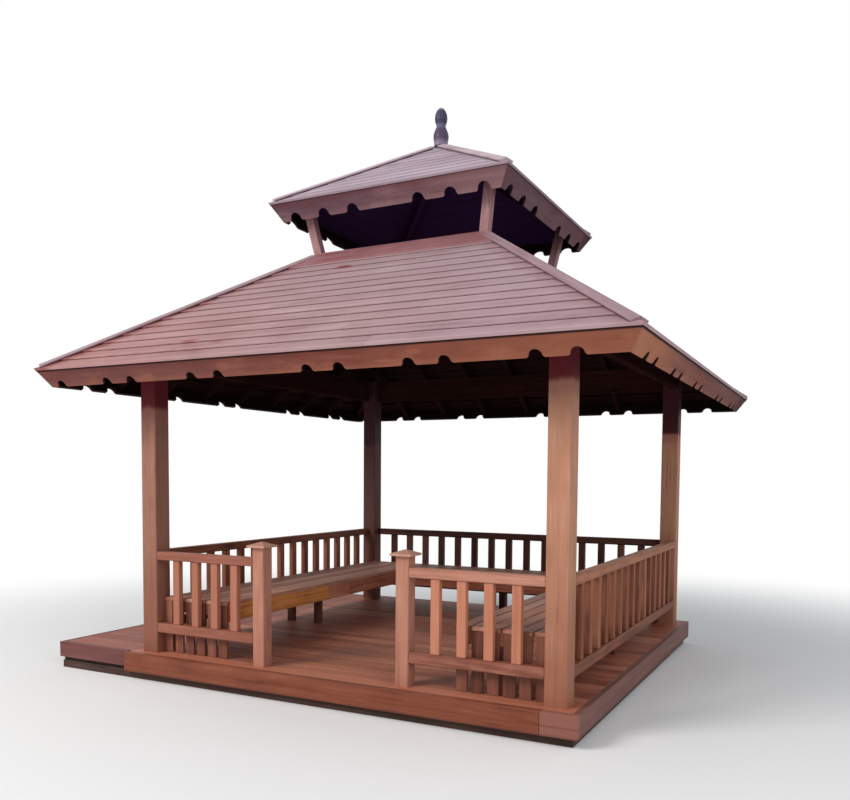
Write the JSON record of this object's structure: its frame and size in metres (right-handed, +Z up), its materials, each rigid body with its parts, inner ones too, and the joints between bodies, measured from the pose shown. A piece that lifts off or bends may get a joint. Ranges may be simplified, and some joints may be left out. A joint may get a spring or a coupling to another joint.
{
  "type": "garden gazebo",
  "caption": "Open square timber garden gazebo on a low deck, with a tiered pyramid roof, scalloped fascias, railings, built-in benches and a side platform.",
  "frame": {"origin": "on the ground, under the middle of the square of corner posts, on the underside of a sleeper of the base", "axes": "+X to the right along the entrance front, +Y towards the back, +Z up; the entrance faces -Y and the side platform lies at -X"},
  "size_m": [4.9813, 4.6426, 4.8038],
  "materials": {
    "roof_boards": "weathered stained boards",
    "roof_trim": "weathered stained trim boards",
    "fascia_stain": "satin stained board",
    "post_stain": "satin stained planed timber",
    "rail_stain": "satin stained planed timber",
    "rafter_stain": "stained timber in shade",
    "deck_boards": "walked-on stained boards",
    "rim_stain": "stained edge boards",
    "bench_wood": "satin stained boards",
    "base_wood": "grey weathered sleepers"
  },
  "bodies": {
    "root": {"base_sill": "base_wood", "floor_joists": "base_wood", "front_rim_board": "rim_stain", "deck_rim": "rim_stain", "side_deck_rim": "rim_stain", "deck_floor": "deck_boards", "side_deck_floor": "deck_boards", "front_left_post": "post_stain", "front_right_post": "post_stain", "back_left_post": "post_stain", "back_right_post": "post_stain", "left_newel": "post_stain", "right_newel": "post_stain", "newel_caps": "post_stain", "header_beams": "post_stain", "corner_struts": "post_stain", "finial": "post_stain", "front_left_railing": "rail_stain", "front_right_railing": "rail_stain", "left_railing": "rail_stain", "right_railing": "rail_stain", "back_railing": "rail_stain", "left_bench_frame": "bench_wood", "right_bench_frame": "bench_wood", "back_bench_frame": "bench_wood", "left_bench_seat": "bench_wood", "right_bench_seat": "bench_wood", "back_bench_seat": "bench_wood", "left_bench_end": "bench_wood", "right_bench_end": "bench_wood", "bench_legs": "bench_wood", "hip_rafters": "rafter_stain", "jack_rafters": "rafter_stain", "roof_curb": "rafter_stain", "upper_hip_rafters": "rafter_stain", "lower_roof_front": "roof_boards", "lower_roof_right": "roof_boards", "lower_roof_back": "roof_boards", "lower_roof_left": "roof_boards", "upper_roof": "roof_boards", "top_trim": "roof_trim", "lower_hip_caps": "roof_trim", "upper_hip_caps": "roof_trim", "lower_fascia_front": "fascia_stain", "lower_fascia_right": "fascia_stain", "lower_fascia_back": "fascia_stain", "lower_fascia_left": "fascia_stain", "upper_fascia": "fascia_stain"}
  },
  "joints": []
}
